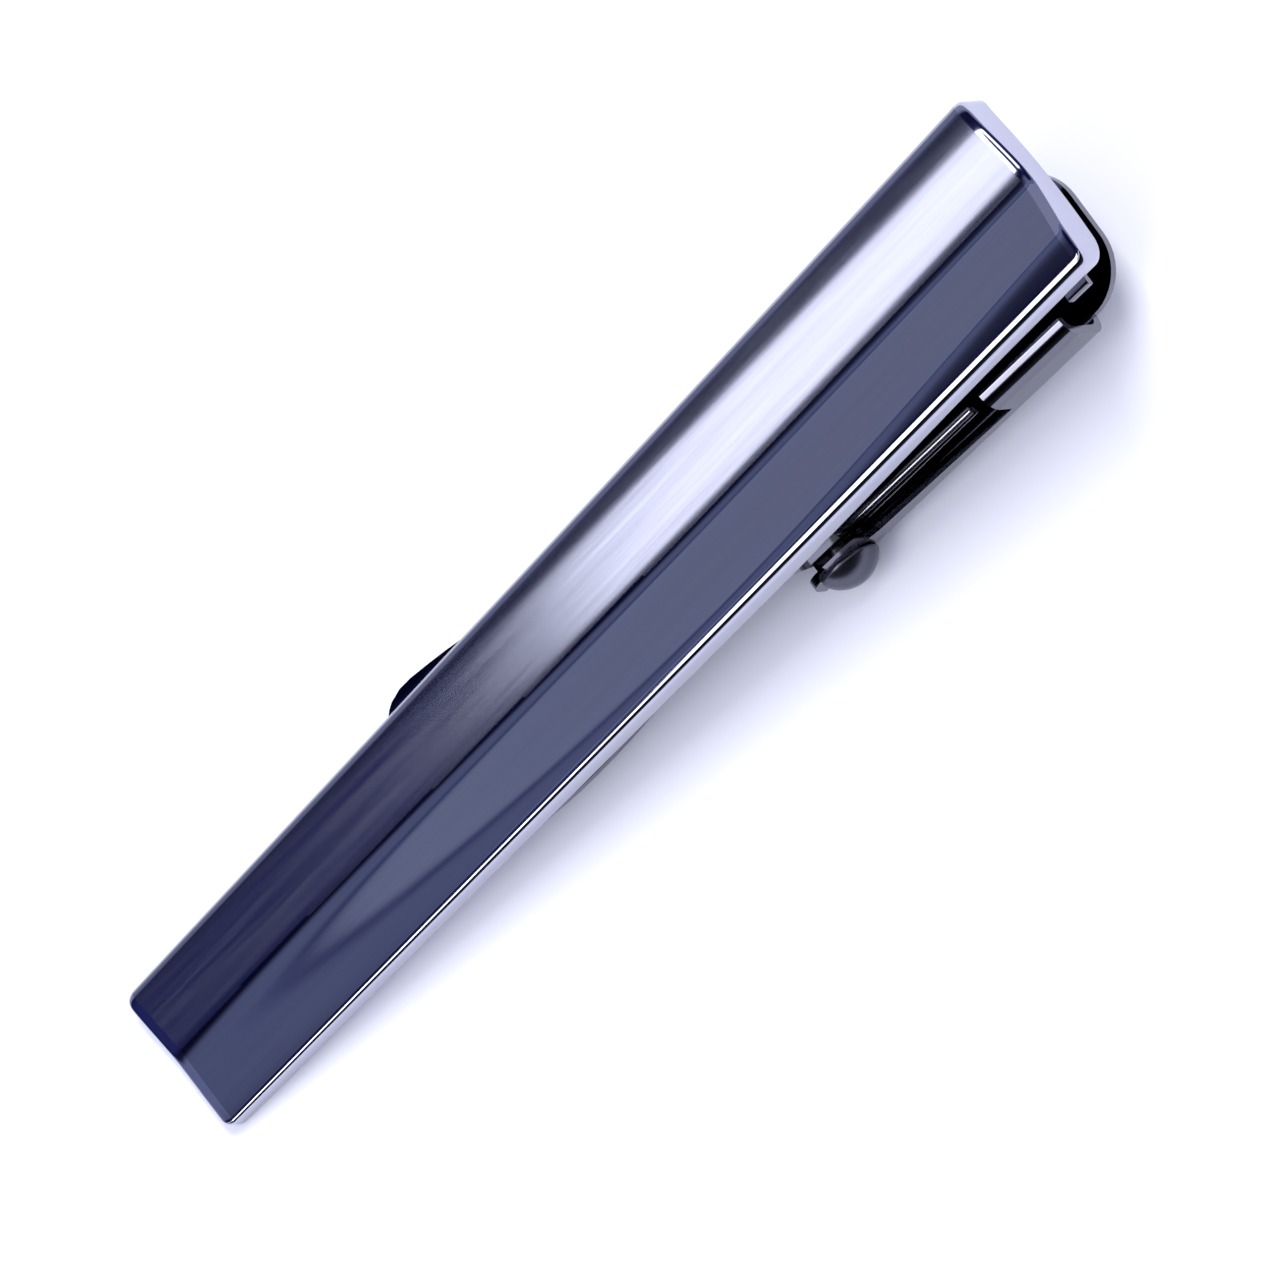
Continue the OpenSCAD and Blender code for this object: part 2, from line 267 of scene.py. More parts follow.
def mesh_object(name: str, points: np.ndarray, faces: list | np.ndarray) -> bpy.types.Object:
    """Puts points and faces into a new mesh object at the origin.

    Args:
        name: the piece's name.
        points: an array of n by 3 coordinates in metres.
        faces: the corner indices of each face.

    Returns:
        The object, linked to the scene.
    """
    mesh = bpy.data.meshes.new(name)
    mesh.from_pydata(points.tolist(), [], faces if isinstance(faces, list) else faces.tolist())
    mesh.validate()
    piece = bpy.data.objects.new(name, mesh)
    bpy.context.scene.collection.objects.link(piece)
    return piece


def smooth(piece: bpy.types.Object, angle: float) -> None:
    """Shades a piece smooth and keeps edges over an angle sharp.

    Args:
        piece: the mesh object.
        angle: the angle in degrees.
    """
    piece.data.shade_smooth()
    piece.data.set_sharp_from_angle(angle=math.radians(angle))


def bevelled(piece: bpy.types.Object, width_mm: float, angle: float, segments: int = 2) -> None:
    """Rounds a piece's sharp edges with a live Bevel.

    Args:
        piece: the mesh object.
        width_mm: the bevel's width.
        angle: edges over this many degrees are rounded.
        segments: faces across the bevel.
    """
    bevel = piece.modifiers.new("edge_rounding", "BEVEL")
    bevel.width = width_mm * MM
    bevel.segments = segments
    bevel.limit_method = "ANGLE"
    bevel.angle_limit = math.radians(angle)
    bevel.harden_normals = True


def grid_faces(rows: int, columns: int, start: int = 0) -> np.ndarray:
    """Quads of a grid of points, row after row.

    Args:
        rows: points along the first parameter.
        columns: points along the second.
        start: the index of the first point.

    Returns:
        An array of quads.
    """
    i, j = np.meshgrid(np.arange(rows - 1), np.arange(columns - 1), indexing="ij")
    a = start + i * columns + j
    return np.stack([a, a + columns, a + columns + 1, a + 1], -1).reshape(-1, 4)


@dataclass
class GroovedBar:
    """The front bar: a tapered bar with a soft V groove down its front.

    Attributes:
        length: along X.
        tip_width: width at the tip.
        thumb_width: width at the thumb end.
        tip_thickness: at the tip's long edges.
        thumb_thickness: at the thumb end's long edges.
        slope: steepness of the right facet at the tip and the thumb end.
        left_slope: steepness of the left facet there.
        groove_blend: radius in the bottom of the groove on the right, at the tip and the thumb end.
        left_groove_blend: the same radii on the left.
        level: widths, at the thumb end, of the level strips right and left of the groove's bottom.
        level_blend: how slowly each strip turns into its facet.
        valley: sideways place of the groove's bottom, as (share of the length, millimetres).
        crest: distance from the long edges to where the right facet has lost half its slope.
        crest_blend: how slowly the right facet levels out, at the tip and the thumb end.
        left_crest: the same distance on the left facet.
        left_blend: how slowly the left facet levels out.
        soft_edge: rounding of the soft long edge at the tip and the thumb end.
        crisp_edge: rounding of the crisp long edge at the tip and the thumb end.
        corner: rounding of the corners in plan.
        bow: how far the thumb end's corners stand back from its middle.
        back_edge: rounding of the right wall's lower edge at the thumb end.
        end_edge: rounding of the front's end edges.
        bow_run: length over which the bow of the thumb end fades out.
        back_from: X at which the lower edge's rounding starts.
        back_run: length over which that rounding grows.
        gloss_past: share of the left level strip that is glossed with the right facet.
        stations: stations along the bar between its rounded ends.
        end_rings: stations in each rounded end.
        facet_columns: columns across the two facets.
        edge_columns: columns across each rounded long edge.
    """

    length: float = 54.0
    tip_width: float = 7.0
    thumb_width: float = 8.7
    tip_thickness: float = 0.9
    thumb_thickness: float = 1.9
    slope: tuple[float, float] = (0.155, 0.24)
    left_slope: tuple[float, float] = (0.135, 0.215)
    groove_blend: tuple[float, float] = (0.9, 0.3)
    left_groove_blend: tuple[float, float] = (0.2, 0.6)
    level: tuple[float, float] = (0.15, 0.22)
    level_blend: tuple[float, float] = (0.05, 0.15)
    valley: tuple = (
        (0, 0.27), (0.2, 0.33), (0.36, 0.22), (0.49, 0.1), (0.62, 0.02), (0.81, 0), (1, 0),
    )
    crest: tuple = (
        (0, 1.85), (0.1, 1.6), (0.17, 1.4), (0.23, 1.2), (0.29, 1.0),
        (0.36, 0.75), (0.5, 0.75), (0.62, 0.85), (0.8, 1.2), (1, 1.85),
    )
    crest_blend: tuple[float, float] = (2.2, 0.2)
    left_crest: tuple[float, float] = (0.4, 1.5)
    left_blend: float = 0.5
    soft_edge: tuple[float, float] = (0.35, 0.5)
    crisp_edge: tuple[float, float] = (0.2, 0.45)
    corner: float = 0.5
    bow: float = 0.15
    back_edge: float = 0.75
    end_edge: float = 0.2
    bow_run: float = 6.0
    back_from: float = 6.0
    back_run: float = 16.0
    gloss_past: float = 0.6
    stations: int = 150
    end_rings: int = 10
    facet_columns: int = 72
    edge_columns: int = 12

    @staticmethod
    def _mix(ends: tuple[float, float], share: np.ndarray) -> np.ndarray:
        """A value that changes evenly from the first of two ends to the second."""
        return ends[0] + (ends[1] - ends[0]) * share

    @staticmethod
    def _round_off(radius: float, s: np.ndarray) -> np.ndarray:
        """How much a quarter circle of a radius takes away at a distance s from its end."""
        t = np.clip(radius - s, 0, radius)
        return radius - np.sqrt(radius**2 - t**2)

    def _stations(self) -> np.ndarray:
        """Places along X: even in the middle, on a cosine in the rounded ends."""
        end = self.corner * (1 - np.cos(np.linspace(0, np.pi / 2, self.end_rings)))
        low = -self.length / 2 + end
        straight = self.length / 2 - self.corner
        middle = np.linspace(-straight, straight, self.stations)
        return np.concatenate([low, middle[1:-1], -low[::-1]])

    @staticmethod
    def _along(knots: tuple, share: np.ndarray) -> np.ndarray:
        """A smooth value along the bar: the quartic that comes nearest to the knots."""
        places, values = np.array(knots).T
        return np.polyval(np.polyfit(places, values, 4), share)

    @staticmethod
    def _started(s: np.ndarray, start: np.ndarray, blend: float) -> np.ndarray:
        """Distance past a level strip: half of a hyperbola about the strip's end plus its line."""
        past = s - start
        return (np.hypot(past, blend) + past) / 2

    @staticmethod
    def _climb(
        s: np.ndarray, crest: np.ndarray, blend: np.ndarray, crest_blend: np.ndarray | float
    ) -> np.ndarray:
        """Climb of a facet at a distance s from the valley.

        It is a hyperbola, which is level at the bottom and then steady, less half of a second
        one that takes the slope back to level past the crest.

        Args:
            s: distance from the valley.
            crest: distance at which half of the slope is left.
            blend: radius of the valley.
            crest_blend: radius of the crest.

        Returns:
            The climb for a facet of slope 1.
        """
        past = s - crest
        return np.hypot(s, blend) - (np.hypot(past, crest_blend) + past) / 2

    def front(self) -> tuple[np.ndarray, np.ndarray, np.ndarray]:
        """The front surface as arrays over stations and columns.

        Height is the thickness, less what each facet still has to climb, less a quarter
        circle along each edge. Width grows in a straight line from tip to thumb end.

        Returns:
            X, Y and Z in millimetres, each of stations by columns.
        """
        x = self._stations()[:, None]
        share = x / self.length + 0.5
        from_end = self.length / 2 - np.abs(x)
        half = self._mix((self.tip_width, self.thumb_width), share) / 2
        half = half - self._round_off(self.corner, from_end)
        crisp = self._mix(self.crisp_edge, share)
        soft = self._mix(self.soft_edge, share)
        right, left = -half + crisp, half - soft
        turn = np.linspace(0, np.pi / 2, self.edge_columns)[None, :]
        facet = np.linspace(0, 1, self.facet_columns)[None, 1:-1]
        y = np.concatenate(
            [
                right - crisp * np.cos(turn),
                right + (left - right) * facet,
                left + soft * np.sin(turn),
            ],
            1,
        )
        sunk = np.concatenate(
            [
                crisp * (1 - np.sin(turn)),
                0 * (facet + x),
                soft * (1 - np.cos(turn)),
            ],
            1,
        )
        valley = self._along(self.valley, share)
        strip, start = (width * share**2 for width in self.level)
        # The right facet, from the crest down to the valley
        slope = self._mix(self.slope, share)
        crest = half - self._along(self.crest, share)
        crest_blend = self._mix(self.crest_blend[::-1], (1 - share) ** 2)
        groove = self._mix(self.groove_blend, share)
        right_top, right_climb, right_low = (
            self._climb(self._started(s, strip, self.level_blend[0]), crest, groove, crest_blend)
            for s in (half + valley, valley - y, 0 * half)
        )
        # The left facet, from the valley up
        left_slope = self._mix(self.left_slope, share)
        left_crest = half - self._mix(self.left_crest, share) - valley - start
        left_groove = self._mix(self.left_groove_blend, share)
        left_climb, left_low = (
            self._climb(
                self._started(s, start, self.level_blend[1]), left_crest, left_groove, self.left_blend
            )
            for s in (y - valley, 0 * half)
        )
        left_fall = slope * (right_top - right_low) - left_slope * (left_climb - left_low)
        fall = np.where(y < valley, slope * (right_top - right_climb), left_fall)
        top = self._mix((self.tip_thickness, self.thumb_thickness), share)
        z = top - fall - sunk - self._round_off(self.end_edge, from_end)
        # The thumb end is bowed: a parabola across the bar that fades out along it
        near = np.clip((x - self.length / 2 + self.bow_run) / self.bow_run, 0, 1) ** 2
        return x - self.bow * near * (y / half) ** 2, y, z

    def back(self) -> tuple[np.ndarray, np.ndarray, np.ndarray]:
        """The back surface: flat, with a quarter circle along the right edge.

        The circle's radius grows as a cosine from nothing at the clasp's pin to its full size at
        the thumb end.

        Returns:
            X, Y and Z in millimetres, on the same stations and columns as the front.
        """
        x, y, _ = self.front()
        low, high = y[:, :1], y[:, -1:]
        share = np.clip((x[:, :1] - self.back_from) / self.back_run, 0, 1)
        least = 0.02
        radius = self.back_edge * (1 - np.cos(np.pi * share)) / 2 + least
        turn = np.linspace(0, np.pi / 2, self.edge_columns)[None, :]
        flat = np.linspace(0, 1, y.shape[1] - self.edge_columns + 1)[None, 1:]
        rounded = low + radius * (1 - np.cos(turn))
        across = np.concatenate([rounded, low + radius + (high - low - radius) * flat], 1)
        up = np.concatenate([radius * (1 - np.sin(turn)), 0 * flat + 0 * radius], 1)
        return x, across, up

    def build(
        self, facets: bpy.types.Material, gloss: bpy.types.Material, edges: bpy.types.Material
    ) -> bpy.types.Object:
        """Builds the closed bar: front grid, flat back grid, two walls and two ends.

        Args:
            facets: the finish of the brushed left facet.
            gloss: the finish of the glossed right facet.
            edges: the finish of the buffed edges and walls, whose lighter tone is painted brightness.

        Returns:
            The bar.
        """
        x, y, z = self.front()
        rows, columns = x.shape
        front = np.stack([x, y, z], -1).reshape(-1, 3)
        back = np.stack(self.back(), -1).reshape(-1, 3)
        count = rows * columns
        i, j = np.arange(rows - 1), np.arange(columns - 1)
        crisp, soft = i * columns, i * columns + columns - 1
        low, high = j, (rows - 1) * columns + j
        faces = np.concatenate(
            [
                grid_faces(rows, columns),
                grid_faces(rows, columns, count)[:, ::-1],
                np.stack([crisp, crisp + count, crisp + columns + count, crisp + columns], -1),
                np.stack([soft, soft + columns, soft + columns + count, soft + count], -1),
                np.stack([low, low + 1, low + 1 + count, low + count], -1),
                np.stack([high, high + count, high + 1 + count, high + 1], -1),
            ]
        )
        piece = mesh_object("grooved_bar", np.concatenate([front, back]) * MM, faces)
        for material in (facets, edges, gloss):
            piece.data.materials.append(material)
        column = np.tile(np.arange(columns - 1), rows - 1)
        row = np.repeat(np.arange(rows - 1), columns - 1)
        # The buffing wheel takes the crisp edge and the rounded ends; the facets are brushed. These
        # faces, the long walls, the end walls and the back take the edge finish, whose lighter tone is
        # painted brightness
        ends = (row < self.end_rings - 1) | (row >= rows - self.end_rings)
        buffed_painted_lighter = (column < self.edge_columns) | ends
        share = (x / self.length + 0.5)[:-1, :-1]
        border = self._along(self.valley, share) + self.gloss_past * self.level[1] * share**2
        glossed = y[:-1, :-1] < border
        index = np.ones(len(faces), np.int32)
        index[: len(buffed_painted_lighter)] = np.where(buffed_painted_lighter, 1, np.where(glossed.ravel(), 2, 0))
        piece.data.polygons.foreach_set("material_index", index)
        smooth(piece, angle=38)
        bevelled(piece, width_mm=0.06, angle=60)
        return piece


@dataclass
class StampedSheet:
    """A stamped piece of the clasp, finished from its own solid.

    Attributes:
        node: the solid that it stands for; not used.
        name: the piece's name.
        edge_mm: rounding that barrel polishing leaves on its edges.
        merge_mm: points closer than this are one.
        flat_angle: faces within this many degrees are joined to one.
    """

    node: str
    name: str
    edge_mm: float = 0.07
    merge_mm: float = 0.002
    flat_angle: float = 0.6

    def build(self, solid: bpy.types.Object, material: bpy.types.Material) -> bpy.types.Object:
        """Copies the solid, joins its flat faces and rounds its edges.

        Args:
            solid: the node's own object.
            material: its finish.

        Returns:
            The finished piece.
        """
        mesh = solid.data.copy()
        mesh.name = self.name
        work = bmesh.new()
        work.from_mesh(mesh)
        bmesh.ops.remove_doubles(work, verts=work.verts, dist=self.merge_mm * MM)
        bmesh.ops.dissolve_limit(
            work, angle_limit=math.radians(self.flat_angle), verts=work.verts, edges=work.edges
        )
        work.to_mesh(mesh)
        work.free()
        mesh.materials.clear()
        mesh.materials.append(material)
        piece = bpy.data.objects.new(self.name, mesh)
        bpy.context.scene.collection.objects.link(piece)
        smooth(piece, angle=30)
        bevelled(piece, self.edge_mm, angle=40)
        return piece


@dataclass
class ClaspPlace:
    """Where the clasp's hinge lies and how far it is soldered askew.

    Attributes:
        pivot: the hinge pin's middle, in metres.
        across: the unit vector along the pin.
    """

    pivot: Vector
    across: Vector

    @classmethod
    def from_joint(cls, joint: dict) -> ClaspPlace:
        """Reads the place from the hinge joint of the frame.

        Args:
            joint: the joint as the frame gives it.

        Returns:
            The place, with its axis turned towards +Y.
        """
        axis = Vector(joint["axis"]).normalized()
        return cls(Vector(joint["pos_m"]), axis if axis.y > 0 else -axis)

    def matrix(self) -> Matrix:
        """Turns the clasp's own frame (X along the lever, Y along the pin) into the part's."""
        along = self.across.cross(Vector((0, 0, 1)))
        turn = Matrix((along, self.across, Vector((0, 0, 1)))).transposed().to_4x4()
        return Matrix.Translation(self.pivot) @ turn


@dataclass
class HingePin:
    """The rivet: a shank with a domed head at each end.

    Attributes:
        shank: diameter.
        head: diameter of the heads.
        crown: height of the heads.
        seat: distance from the middle to the underside of a head.
        rim: height of the straight rim under the dome.
        sides: points round the pin.
        dome_rings: rings from the rim to the crown.
    """

    shank: float = 1.0
    head: float = 2.7
    crown: float = 0.9
    seat: float = 4.14
    rim: float = 0.12
    sides: int = 96
    dome_rings: int = 20

    def profile(self) -> np.ndarray:
        """Radius and height from the middle to the crown.

        The dome is a circular arc through the rim and the crown, and the rim's corner is a
        small quarter circle.

        Returns:
            An array of points with radius and height in millimetres.
        """
        radius = self.head / 2
        rise = self.crown - self.rim
        ball = (radius**2 + rise**2) / (2 * rise)
        widest = math.asin(radius / ball)
        turn = np.linspace(widest, 0, self.dome_rings)
        dome = np.stack([ball * np.sin(turn), self.seat + self.crown - ball * (1 - np.cos(turn))], -1)
        bend = np.linspace(0, np.pi / 2, 5)
        soft = 0.05
        under = np.stack(
            [radius - soft + soft * np.sin(bend), self.seat + soft - soft * np.cos(bend)], -1
        )
        shank = np.array([[self.shank / 2, 0.0], [self.shank / 2, self.seat]])
        return np.concatenate([shank, under, dome])

    def build(self, place: ClaspPlace, material: bpy.types.Material) -> bpy.types.Object:
        """Turns the profile round the pin's axis and mirrors it for the other end.

        Args:
            place: where the hinge lies.
            material: its finish.

        Returns:
            The pin.
        """
        half = self.profile()
        whole = np.concatenate([half[::-1] * [1, -1], half[1:]])
        whole = whole[(whole[:, 0] > 1e-6) | (np.abs(whole[:, 1]) < self.seat)]
        turn = np.linspace(0, 2 * np.pi, self.sides, endpoint=False)
        ring = np.stack(
            [
                whole[:, :1] * np.cos(turn),
                whole[:, 1:] + 0 * turn,
                whole[:, :1] * np.sin(turn),
            ],
            -1,
        )
        count = len(whole)
        top = self.seat + self.crown
        points = np.concatenate([ring.reshape(-1, 3), [[0, -top, 0], [0, top, 0]]]) * MM
        wrap = np.concatenate([np.arange(self.sides), [0]])
        a = (np.arange(count - 1)[:, None] * self.sides + wrap[None, :-1]).ravel()
        b = (np.arange(count - 1)[:, None] * self.sides + wrap[None, 1:]).ravel()
        quads = np.stack([a, b, b + self.sides, a + self.sides], -1).tolist()
        first, last = np.arange(self.sides), (count - 1) * self.sides + np.arange(self.sides)
        fans = [[count * self.sides, int(n), int(m)] for m, n in zip(first, np.roll(first, -1))]
        fans += [[count * self.sides + 1, int(m), int(n)] for m, n in zip(last, np.roll(last, -1))]
        piece = mesh_object("hinge_rivet", points, quads + fans)
        piece.data.transform(place.matrix())
        outward(piece)
        piece.data.materials.append(material)
        smooth(piece, angle=35)
        return piece


def outward(piece: bpy.types.Object) -> None:
    """Merges a closed piece's double points and turns its faces outwards."""
    work = bmesh.new()
    work.from_mesh(piece.data)
    bmesh.ops.remove_doubles(work, verts=work.verts, dist=1e-7)
    bmesh.ops.recalc_face_normals(work, faces=work.faces)
    work.to_mesh(piece.data)
    work.free()


@dataclass
class TorsionSpring:
    """The spring: one wire wound round the pin, with a leg to the base and one to the lever.

    Attributes:
        wire: diameter of the wire.
        coil: radius from the pin's axis to the wire's middle.
        turns: turns in the coil.
        pitch: room along the pin that each turn is given.
        leg: length of each leg.
        up: height of the upper leg's end over the pin's axis.
        down: depth of the lower leg's end under the pin's axis.
        rim_share: the section's size at a cut end, as a share of the wire.
        rim_mm: length over which the end closes in.
        bend_share: share of the coil's length that bends, while its ends stay with their bodies; not
            used.
        sides: points round the wire.
        rings_per_turn: rings in one turn.
        leg_rings: rings along a leg.
    """

    wire: float = 0.35
    coil: float = 0.715
    turns: int = 7
    pitch: float = 0.77
    leg: float = 8.0
    up: float = 3.405
    down: float = 0.805
    rim_share: float = 0.62
    rim_mm: float = 0.04
    bend_share: float = 0.9
    sides: int = 16
    rings_per_turn: int = 48
    leg_rings: int = 24

    def way(self) -> tuple[np.ndarray, np.ndarray, np.ndarray]:
        """The wire's way: angle round the pin, place along it, distance along a leg.

        The coil is a helix, and each leg leaves it along its tangent. A leg's tilt is the angle
        of its far end less the angle that the coil's radius takes up.

        Returns:
            Three arrays, with the angle in radians and the lengths in millimetres.
        """
        far = math.hypot(self.leg, self.coil)
        lean = math.atan2(self.coil, self.leg)
        rise = math.asin(self.up / far) - lean
        fall = math.asin(self.down / far) - lean
        start = math.pi / 2 + rise
        sweep = math.pi - rise - fall + 2 * math.pi * (self.turns - 1)
        share = np.linspace(0, 1, self.rings_per_turn * self.turns)
        out = np.linspace(1, 0, self.leg_rings, endpoint=False)
        side = self.turns * self.pitch / 2
        angle = np.concatenate([start + 0 * out, start + sweep * share, start + sweep + 0 * out])
        across = np.concatenate([side + 0 * out, side * (1 - 2 * share), -side + 0 * out])
        along = np.concatenate([-self.leg * out, 0 * share, self.leg * out[::-1]])
        return angle, across, along

    def build(self, place: ClaspPlace, material: bpy.types.Material) -> bpy.types.Object:
        """Carries a round section along the wire's way, with rounded ends.

        Args:
            place: where the hinge lies.
            material: its finish.

        Returns:
            The spring, not yet riding on anything.
        """
        angle, across, along = self.way()
        size = np.full(len(angle), self.wire / 2)
        size[[0, -1]] *= self.rim_share
        away = np.stack([np.cos(angle), 0 * angle, np.sin(angle)], -1)
        on = np.stack([-np.sin(angle), 0 * angle, np.cos(angle)], -1)
        pin_way = np.array([0, 1, 0])
        middle = self.coil * away + along[:, None] * on + across[:, None] * pin_way
        # The last two rings of each end close in, so that the cut wire has a soft rim
        for end, inner in ((0, 1), (-1, -2)):
            step = middle[inner] - middle[end]
            middle[inner] = middle[end] + self.rim_mm * step / np.linalg.norm(step)
        turn = np.linspace(0, 2 * np.pi, self.sides, endpoint=False)[None, :, None]
        ring = middle[:, None, :] + size[:, None, None] * (
            np.cos(turn) * away[:, None, :] + np.sin(turn) * pin_way
        )
        count = len(angle)
        wrap = np.concatenate([np.arange(self.sides), [0]])
        a = (np.arange(count - 1)[:, None] * self.sides + wrap[None, :-1]).ravel()
        b = (np.arange(count - 1)[:, None] * self.sides + wrap[None, 1:]).ravel()
        quads = np.stack([a, b, b + self.sides, a + self.sides], -1).tolist()
        caps = [list(range(self.sides)), [(count - 1) * self.sides + k for k in range(self.sides)]]
        piece = mesh_object("torsion_wire", ring.reshape(-1, 3) * MM, quads + caps)
        piece.data.transform(place.matrix())
        outward(piece)
        piece.data.materials.append(material)
        smooth(piece, angle=50)
        return piece


@dataclass
class Studio:
    """Floor, lamps, world and camera.

    Attributes:
        rest_x: X of the line at which the lever's floor stands on the table.
        rest_z: height of that line.
        tip_x: X of the tip's lower edge, which also stands on the table.
        view: the direction from the object to the camera.
        up: the picture's upward direction.
        aim: the point in the middle of the picture.
        px_per_mm: scale of the picture.
        frame_px: width of the picture.
        distance: from the aim to the camera.
    """

    rest_x: float = 6.2
    rest_z: float = -5.4
    tip_x: float = -27.0
    view: tuple[float, float, float] = (0.3964, -0.2896, 0.8712)
    up: tuple[float, float, float] = (0.6598, 0.7497, -0.0510)
    aim: tuple[float, float, float] = (0.365, -1.326, 0.0)
    px_per_mm: float = 24.975
    frame_px: float = 1280.0
    distance: float = 2000.0

    def camera(self) -> None:
        """Places a long-lens camera where the photograph was taken from."""
        data = bpy.data.cameras.new("long_lens")
        data.sensor_width = 36.0
        data.lens = data.sensor_width * self.distance / (self.frame_px / self.px_per_mm)
        data.clip_start, data.clip_end = 0.1, 100.0
        camera = bpy.data.objects.new("long_lens", data)
        bpy.context.scene.collection.objects.link(camera)
        back = Vector(self.view).normalized()
        right = Vector(self.up).cross(back).normalized()
        top = back.cross(right)
        turn = Matrix((right, top, back)).transposed().to_4x4()
        camera.matrix_world = Matrix.Translation((Vector(self.aim) + back * self.distance) * MM) @ turn
        bpy.context.scene.camera = camera

    def tilt(self) -> float:
        """Angle of the table in the part's frame, in radians."""
        return math.atan2(-self.rest_z, self.rest_x - self.tip_x)

    def floor(self) -> bpy.types.Object:
        """Lays the pale table under the tip and the lever."""
        half, gap = 900.0, 0.01
        corners = np.array([[-half, -half, 0], [half, -half, 0], [half, half, 0], [-half, half, 0]])
        table = mesh_object("table_top", corners * MM, [[0, 1, 2, 3]])
        turn = Matrix.Rotation(self.tilt(), 4, "Y")
        table.matrix_world = Matrix.Translation(Vector((self.tip_x, 0, -gap)) * MM) @ turn
        material = bpy.data.materials.new("white_card")
        material.use_nodes = True
        tree = material.node_tree
        tree.nodes.clear()
        card = add_node(tree, "ShaderNodeBsdfDiffuse", {"Color": linear("#F6F6FA")})
        # Seen from below, the card is clear, so the clip's back can be looked at
        clear = add_node(tree, "ShaderNodeBsdfTransparent")
        side = add_node(tree, "ShaderNodeNewGeometry")
        both = add_node(
            tree,
            "ShaderNodeMixShader",
            links={0: side.outputs["Backfacing"], 1: card.outputs[0], 2: clear.outputs[0]},
        )
        add_node(tree, "ShaderNodeOutputMaterial", links={"Surface": both.outputs[0]})
        table.data.materials.append(material)
        return table

    def world(self) -> None:
        """Lights the clip with a studio dome whose brightness changes round the bar's long axis.

        The dome is a ramp over the angle of a direction in the YZ plane: dark on the right, a
        bright strip, a deep blue gap overhead, then a lit wall on the left.
        """
        world = bpy.data.worlds.new("studio_dome")
        bpy.context.scene.world = world
        world.use_nodes = True
        tree = world.node_tree
        tree.nodes.clear()
        place = add_node(tree, "ShaderNodeTexCoord")
        parts = add_node(tree, "ShaderNodeSeparateXYZ", links={0: place.outputs["Generated"]})
        angle = add_node(
            tree,
            "ShaderNodeMath",
            links={0: parts.outputs["Y"], 1: parts.outputs["Z"]},
            operation="ARCTAN2",
        )
        share = add_node(
            tree,
            "ShaderNodeMapRange",
            {"From Min": -math.pi / 2, "From Max": math.pi / 2, "To Min": 0.0, "To Max": 1.0},
            {"Value": angle.outputs[0]},
        )
        ramp = add_node(tree, "ShaderNodeValToRGB", links={"Fac": share.outputs[0]})
        # Angle from overhead in degrees, towards the left, and the tone of the dome there
        stops = [
            (-90, "#4C4C5C"),
            (-60, "#14141C"),
            (-38, "#0C0C12"),
            (-34, "#FFFFFF"),
            (-14, "#FFFFFF"),
            (-10, "#282E66"),
            (8, "#2A3070"),
            (15, "#12143C"),
            (18.8, "#0C0E32"),
            (22, "#7F87AE"),
            (27.8, "#8088B0"),
            (28.8, "#464E84"),
            (29.6, "#464E84"),
            (30.6, "#A6AECC"),
            (36, "#9FA7C6"),
            (48, "#A4A6C0"),
            (62, "#B4AFC4"),
            (90, "#BEBACC"),
        ]
        elements = ramp.color_ramp.elements
        for degrees, _ in stops[2:]:
            elements.new((degrees + 90) / 180)
        for element, (degrees, tone) in zip(elements, stops):
            element.position = (degrees + 90) / 180
            element.color = linear(tone)
        dome = add_node(tree, "ShaderNodeBackground", {"Strength": 1.0}, {"Color": ramp.outputs[0]})
        paper = add_node(tree, "ShaderNodeBackground", {"Color": (1, 1, 1, 1), "Strength": 1.0})
        # What fills the shadows is the cool light of the whole room, whatever the metal mirrors
        room = add_node(tree, "ShaderNodeBackground", {"Color": linear("#D4D8F2"), "Strength": 1.0})
        ray = add_node(tree, "ShaderNodeLightPath")
        filled = add_node(
            tree,
            "ShaderNodeMixShader",
            links={0: ray.outputs["Is Diffuse Ray"], 1: dome.outputs[0], 2: room.outputs[0]},
        )
        seen = add_node(
            tree,
            "ShaderNodeMixShader",
            links={0: ray.outputs["Is Camera Ray"], 1: filled.outputs[0], 2: paper.outputs[0]},
        )
        add_node(tree, "ShaderNodeOutputWorld", links={"Surface": seen.outputs[0]})

    def lamp(
        self,
        name: str,
        centre: tuple[float, float, float],
        facing: tuple[float, float, float],
        size: tuple[float, float],
        radiance: float,
        tone: str,
        reflected: bool,
    ) -> None:
        """Hangs one soft box.

        Its power is its radiance times pi times its area.

        Args:
            name: the lamp's name.
            centre: the middle of its face, in millimetres.
            facing: direction from the clip to the lamp, against which it shines.
            size: its sizes across and along X, in millimetres.
            radiance: its brightness, where 1 is white.
            tone: its sRGB colour.
            reflected: whether polished metal shows it.
        """
        data = bpy.data.lights.new(name, "AREA")
        data.shape = "RECTANGLE"
        data.size, data.size_y = size[0] * MM, size[1] * MM
        data.energy = radiance * math.pi * data.size * data.size_y
        data.color = linear(tone)[:3]
        lamp = bpy.data.objects.new(name, data)
        bpy.context.scene.collection.objects.link(lamp)
        back = Vector(facing).normalized()
        across = back.cross(Vector((1, 0, 0))).normalized()
        turn = Matrix((across, back.cross(across), back)).transposed().to_4x4()
        lamp.matrix_world = Matrix.Translation(Vector(centre) * MM) @ turn
        lamp.visible_glossy = reflected
        lamp.visible_camera = False

    def light(self) -> None:
        """Sets the dome and three lamps: key, long edge box, and the short box over the thumb end."""
        self.world()
        rows = [
            ("key_box", (364, 238, 546), (0.52, 0.34, 0.78), (420, 240), 10.0, "#FFFFFF", False),
            ("edge_box", (-277, -236, 598), (-0.396, -0.337, 0.854), (240, 220), 4.0, "#F6F7FF", True),
            ("facet_box", (-22.8, -9, 132.9), (-0.43, -0.03, 0.90), (52, 70), 3.0, "#FFFFFF", True),
        ]
        for row in rows:
            self.lamp(*row)


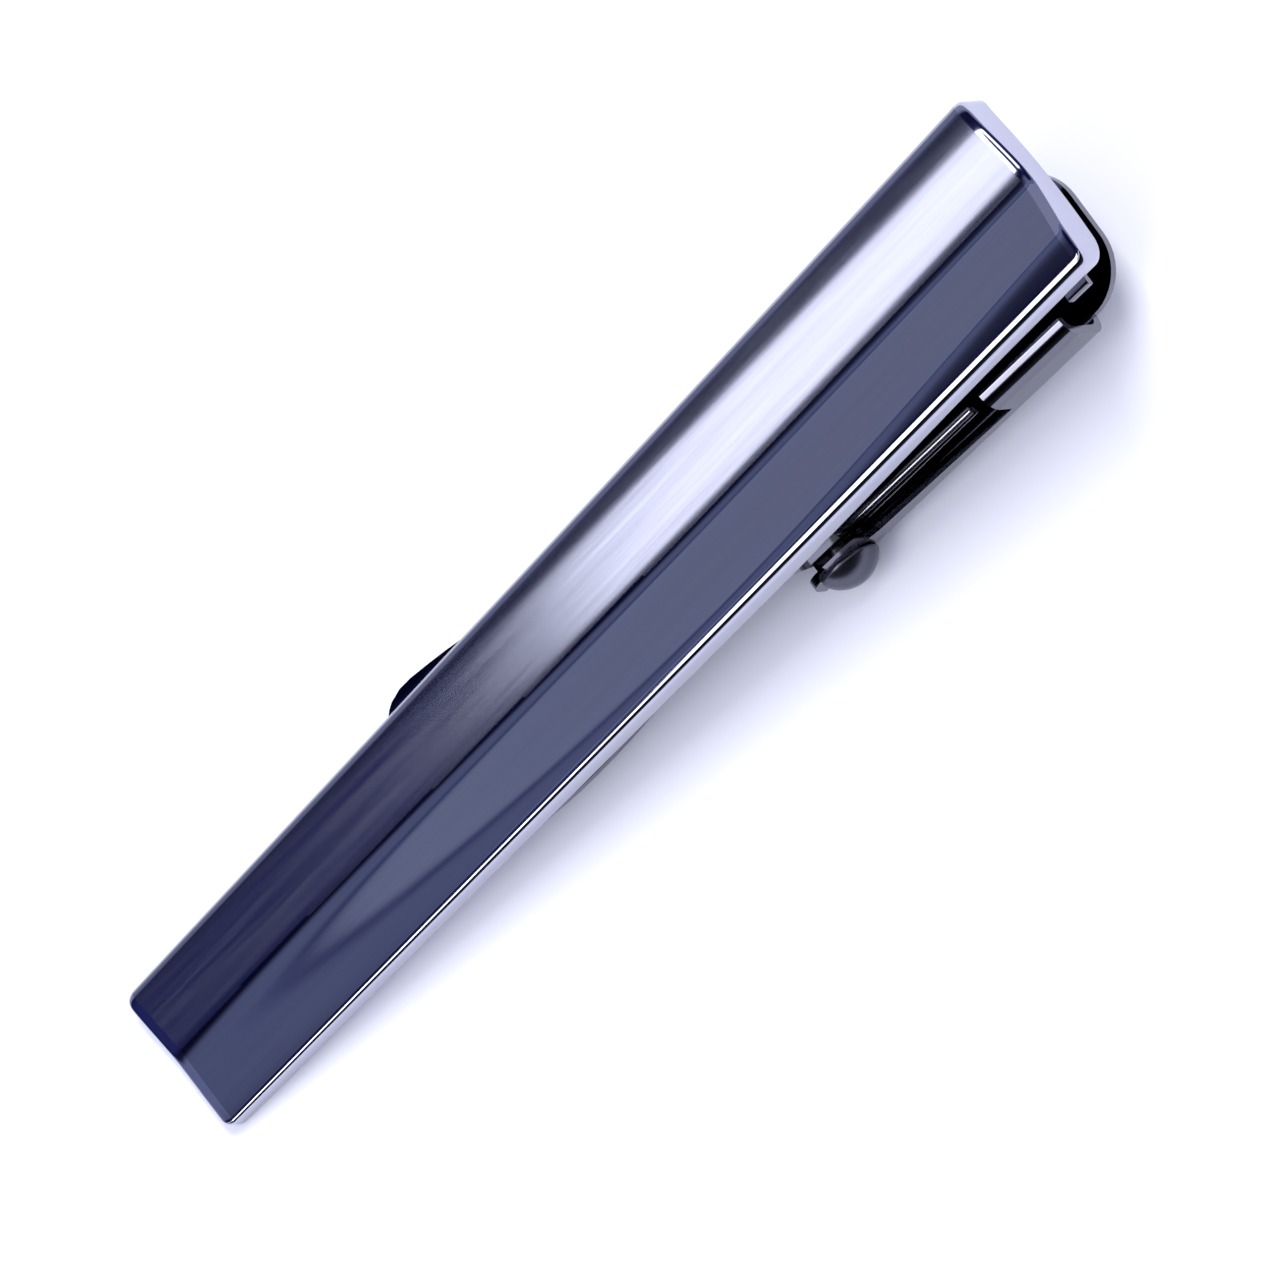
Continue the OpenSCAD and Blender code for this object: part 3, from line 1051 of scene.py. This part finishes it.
def main() -> None:
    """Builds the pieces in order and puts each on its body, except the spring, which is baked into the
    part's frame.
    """
    logging.basicConfig(level=logging.INFO, format="%(name)s: %(message)s")
    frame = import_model()
    nodes = frame["nodes"]
    place = ClaspPlace.from_joint(frame["joints"][0])
    studio = Studio()
    studio.camera()
    studio.floor()
    studio.light()
    satin, gloss, edge = (metal_material(f) for f in (SATIN_NICKEL, GLOSSED_NICKEL, EDGE_NICKEL))
    stamped, rivet = metal_material(STAMPED_NICKEL), metal_material(RIVET_NICKEL)
    wire = metal_material(SPRING_STEEL)

    bar = GroovedBar().build(satin, gloss, edge)
    base = StampedSheet("clasp_base", "soldered_base").build(nodes["clasp_base"], stamped)
    lever = StampedSheet("clasp_lever", "stamped_lever").build(nodes["clasp_lever"], stamped)
    pin = HingePin().build(place, rivet)
    spring_shape = TorsionSpring()
    spring = spring_shape.build(place, wire)

    rows = [
        (bar, "root", "front_bar", "bar_satin"),
        (base, "root", "clasp_base", "clasp_polished"),
        (lever, "lever", "clasp_lever", "clasp_polished"),
        (pin, "root", "hinge_pin", "pin_polished"),
    ]
    for piece, body, node, slot in rows:
        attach(piece, body)
        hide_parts(node)
        LOG.info("%s rides on %s for %s, %d faces", piece.name, body, node, len(piece.data.polygons))
    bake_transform(spring)
    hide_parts("torsion_spring")
    LOG.info("%s bends from root to lever, %d faces", spring.name, len(spring.data.polygons))

    bpy.context.scene.view_settings.view_transform = "Standard"


if __name__ == "__main__":
    main()
